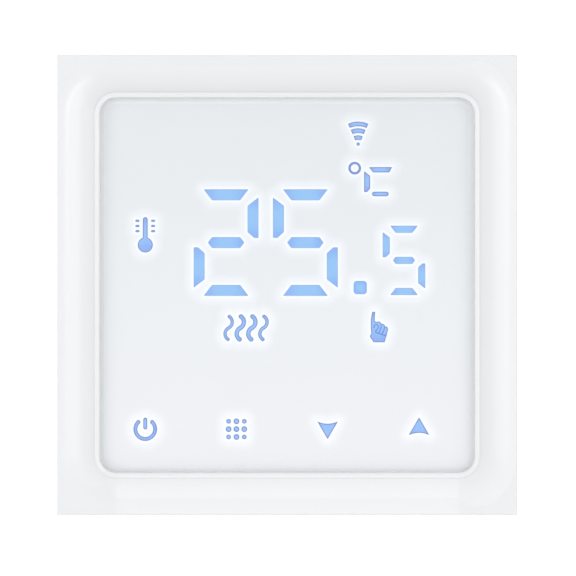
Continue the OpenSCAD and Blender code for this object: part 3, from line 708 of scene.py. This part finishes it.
def wound_copper(name):
    """Enamelled wire in close turns, with black flanges."""
    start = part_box("relay_coil")[0].x
    made = Finish(name, roughness=0.28, coat_weight=0.5)
    turns = made.waves(0.16 * MM, "X", 0.3)
    along = made.place("X")
    near_end = made.ramp(along, start + 0.98 * MM, start + 1.0 * MM, 1.0, 0.0)
    far_end = made.ramp(along, start + 13.58 * MM, start + 13.6 * MM)
    ends = made.math("MAXIMUM", near_end, far_end)
    wire = made.mix(turns, (0.33, 0.1, 0.035), (0.78, 0.33, 0.14))
    made.plug("Base Color", made.mix(ends, wire, (0.05, 0.05, 0.055)))
    made.plug("Metallic", made.math("MULTIPLY", 0.85, made.math("SUBTRACT", 1.0, ends)))
    made.relief(made.math("MULTIPLY", turns, made.math("SUBTRACT", 1.0, ends)), 0.05 * MM, 0.8)
    return made.material


def sleeved_can(name):
    """Dark blue shrink sleeve with a pale stripe, and a bare scored aluminium top."""
    made = Finish(name, roughness=0.3, coat_weight=0.3)
    top = made.ramp(made.facing("Y"), 0.7, 0.8)
    stripe = made.ramp(made.facing("X"), 0.93, 0.95)
    crinkle = made.noise(0.8 * MM, 3.0)
    sleeve = made.mix(crinkle, (0.015, 0.03, 0.11), (0.03, 0.055, 0.17))
    striped = made.mix(stripe, sleeve, (0.62, 0.66, 0.72))
    scored = made.mix(made.noise(0.3 * MM, 3.0), (0.68, 0.68, 0.7), (0.82, 0.82, 0.83))
    made.plug("Base Color", made.mix(top, striped, scored))
    made.plug("Metallic", top)
    made.relief(crinkle, 0.01 * MM, 0.4, 0.3 * MM)
    return made.material


def wound_tape(name):
    """Yellow film tape in overlapping layers."""
    made = Finish(name, roughness=0.25, coat_weight=0.4)
    layers = made.waves(1.9 * MM, "Y", 0.6)
    blotch = made.noise(2 * MM, 3.0)
    made.plug("Base Color", made.mix(made.ramp(blotch, 0.3, 0.7), (0.8, 0.56, 0.05), (0.9, 0.72, 0.16)))
    made.plug("Roughness", made.ramp(blotch, 0.3, 0.7, 0.18, 0.4))
    made.relief(made.ramp(layers, 0.45, 0.55), 0.05 * MM, 0.7, 0.2 * MM)
    return made.material


def washed_brass(name):
    """Nickel washed brass with drawn streaks, and the brass showing through where it is rubbed."""
    made = Finish(name, metallic=1.0, roughness=0.28)
    streaks = made.noise(0.25 * MM, 4.0, (1, 0.1, 1))
    rubbed = made.noise(1.1 * MM, 4.0)
    brass = made.mix(made.ramp(rubbed, 0.45, 0.7), (0.78, 0.74, 0.62), (0.78, 0.6, 0.3))
    made.plug("Base Color", made.mix(made.ramp(streaks, 0.4, 0.8, 0.0, 0.4), brass, (0.5, 0.42, 0.28)))
    made.plug("Roughness", made.ramp(streaks, 0.3, 0.7, 0.2, 0.42))
    made.relief(streaks, 0.006 * MM, 0.5, 0.07 * MM)
    return made.material


MATERIALS = {
    "white_plastic": front_plastic,
    "circuit_board": circuit_board,
    "foam_tape": foam,
    "reflector_white": lambda name: moulded(name, (0.86, 0.86, 0.85), 0.6, shift=0.02),
    "spring_steel": lambda name: metal(name, (0.72, 0.7, 0.66), 0.25, (1, 0.1, 1)),
    "led": small_lens,
    "chip_black": lambda name: moulded(name, (0.028, 0.028, 0.032), 0.55, 0.08 * MM, 0.006 * MM),
    "can_steel": shielded_module,
    "parts_tan": lambda name: moulded(name, (0.42, 0.3, 0.18), 0.4, 0.2 * MM, shift=0.15),
    "connector_black": lambda name: moulded(name, (0.03, 0.03, 0.034), 0.45),
    "gold_pin": lambda name: metal(name, (0.86, 0.66, 0.28), 0.2, (1, 0.1, 1), spread=0.06),
    "sensor_bead": lambda name: moulded(name, (0.32, 0.03, 0.02), 0.15, 0.6 * MM, coat=0.6),
    "carrier_plastic": lambda name: moulded(name, (0.78, 0.79, 0.8), 0.5, 0.3 * MM, 0.01 * MM, 0.2 * MM),
    "zinc_screw": lambda name: metal(name, (0.72, 0.74, 0.76), 0.22, (1, 0.3, 1), 0.2 * MM),
    "galvanised_steel": galvanised_steel,
    "housing_plastic": lambda name: moulded(name, (0.8, 0.8, 0.79), 0.55, 0.3 * MM, 0.014 * MM, 0.3 * MM),
    "cover_sheet": lambda name: moulded(name, (0.82, 0.79, 0.7), 0.6, 0.4 * MM, 0.01 * MM),
    "relay_base_black": lambda name: moulded(name, (0.03, 0.03, 0.035), 0.45),
    "relay_case": lambda name: moulded(name, (0.8, 0.8, 0.77), 0.35, edge=0.3 * MM),
    "copper_wire": wound_copper,
    "soft_iron": lambda name: metal(name, (0.45, 0.45, 0.47), 0.4, (1, 1, 0.1)),
    "contact_metal": lambda name: metal(name, (0.8, 0.58, 0.34), 0.3, (1, 0.1, 1)),
    "ferrite": lambda name: moulded(name, (0.06, 0.06, 0.065), 0.7, 0.12 * MM, 0.02 * MM, shift=0.2),
    "winding_tape": wound_tape,
    "capacitor_box": lambda name: moulded(name, (0.78, 0.42, 0.05), 0.35, edge=0.25 * MM),
    "capacitor_sleeve": sleeved_can,
    "varistor_blue": lambda name: moulded(name, (0.03, 0.13, 0.42), 0.25, 0.7 * MM, 0.02 * MM, 0.6 * MM),
    "fuse_green": lambda name: moulded(name, (0.12, 0.2, 0.1), 0.3, 0.6 * MM, 0.02 * MM),
    "terminal_green": lambda name: moulded(name, (0.02, 0.26, 0.11), 0.38, 0.22 * MM, 0.008 * MM, 0.15 * MM),
    "terminal_brass": washed_brass,
}


def finish_nodes():
    """Gives the CAD nodes their materials, by the record's slots. The display's pieces get theirs later."""
    made = {slot: maker(slot) for slot, maker in MATERIALS.items()}
    for row in frame["record"]["subparts"]:
        if row["material_slot"] in made:
            nodes[row["node"]].data.materials[0] = made[row["material_slot"]]


# ---------- studio ----------


def area_light(name, place, size, power):
    """A lamp at a place in metres, turned to the object."""
    data = bpy.data.lights.new(name, "AREA")
    data.shape, data.size, data.size_y = "RECTANGLE", size[0], size[1]
    data.energy = power
    lamp = bpy.data.objects.new(name, data)
    bpy.context.scene.collection.objects.link(lamp)
    lamp.location = place
    lamp.rotation_mode = "QUATERNION"
    lamp.rotation_quaternion = (-Vector(place)).to_track_quat("-Z", "Y")
    lamp.visible_camera = False


def sky():
    """Soft light from all round, and a white ground where the camera sees past the object."""
    scene = bpy.context.scene
    scene.view_settings.view_transform = "Standard"
    world = bpy.data.worlds.new("studio")
    scene.world = world
    world.use_nodes = True
    tree = world.node_tree
    light = tree.nodes["Background"]
    light.inputs["Color"].default_value = (0.97, 0.985, 1, 1)
    light.inputs["Strength"].default_value = 0.715
    seen = tree.nodes.new("ShaderNodeBackground")
    seen.inputs["Color"].default_value = (1, 1, 1, 1)
    seen.inputs["Strength"].default_value = 1.05
    path = tree.nodes.new("ShaderNodeLightPath")
    blend = tree.nodes.new("ShaderNodeMixShader")
    tree.links.new(path.outputs["Is Camera Ray"], blend.inputs[0])
    tree.links.new(light.outputs[0], blend.inputs[1])
    tree.links.new(seen.outputs[0], blend.inputs[2])
    tree.links.new(blend.outputs[0], tree.nodes["World Output"].inputs["Surface"])


def lamps():
    for side, word in ((-1, "left"), (1, "right")):
        area_light(word + "_softbox", (side * 1.7, -2.0, -0.1), (1.6, 2.6), 13.4)
        area_light(word + "_strip", (side * 0.76, -1.3, 0.5), (0.22, 0.95), 1.0)
    area_light("low_softbox", (0, -1.3, -1.0), (1.6, 0.5), 3.3)
    area_light("rear_softbox", (0.5, 2.4, 1.2), (1.8, 1.8), 18)


def pale_floor():
    """A plain floor that lets the low lamp's light through."""
    gap = 0.06
    bm = bmesh.new()
    bmesh.ops.create_grid(bm, x_segments=24, y_segments=24, size=1.3)
    for vertex in bm.verts:
        vertex.co.z = cad_low.z - gap
    mesh = bpy.data.meshes.new("floor")
    bm.to_mesh(mesh)
    bm.free()
    pale = Finish("floor", roughness=0.7)
    grain = pale.noise(3 * MM, 2.0)
    pale.plug("Base Color", pale.mix(grain, (0.88, 0.88, 0.885), (0.9, 0.9, 0.905)))
    mesh.materials.append(pale.material)
    floor = bpy.data.objects.new("floor", mesh)
    bpy.context.scene.collection.objects.link(floor)
    floor.visible_shadow = False


def camera():
    """A long lens straight on to the face, level with it and very slightly right of and below its middle."""
    data = bpy.data.cameras.new("camera")
    data.sensor_width, data.lens = 36, 600
    data.clip_start, data.clip_end = 0.05, 20
    made = bpy.data.objects.new("camera", data)
    bpy.context.scene.collection.objects.link(made)
    seen_width = 1.2508 * (cad_high.x - cad_low.x)  # the object with a margin round it
    distance = seen_width * data.lens / data.sensor_width
    made.location = (0.15 * MM, cad_low.y - distance, -0.56 * MM)
    made.rotation_euler = (math.pi / 2, 0, 0)
    bpy.context.scene.camera = made


finish_nodes()
film_print(printed_film())
segment_blue = lit_blue("segment_blue", (0.19, 0.28, 0.56), (0.2, 0.376, 0.785), (0.246, 0.466, 0.793))
icon_blue = lit_blue("icon_blue", (0.115, 0.17, 0.42), (0.21, 0.35, 0.76), (0.25, 0.44, 0.82), 0.24)
for sign_node, sign_kind in LIT_SIGNS.items():
    lit_sign(sign_node, sign_kind, segment_blue if sign_kind == "segment" else icon_blue)
hand_creases(lit_blue("crease_blue", (0.07, 0.17, 0.55), (0.07, 0.17, 0.55), (0.07, 0.17, 0.55)))
touch_glass(panel_glass())
sky()
lamps()
pale_floor()
camera()
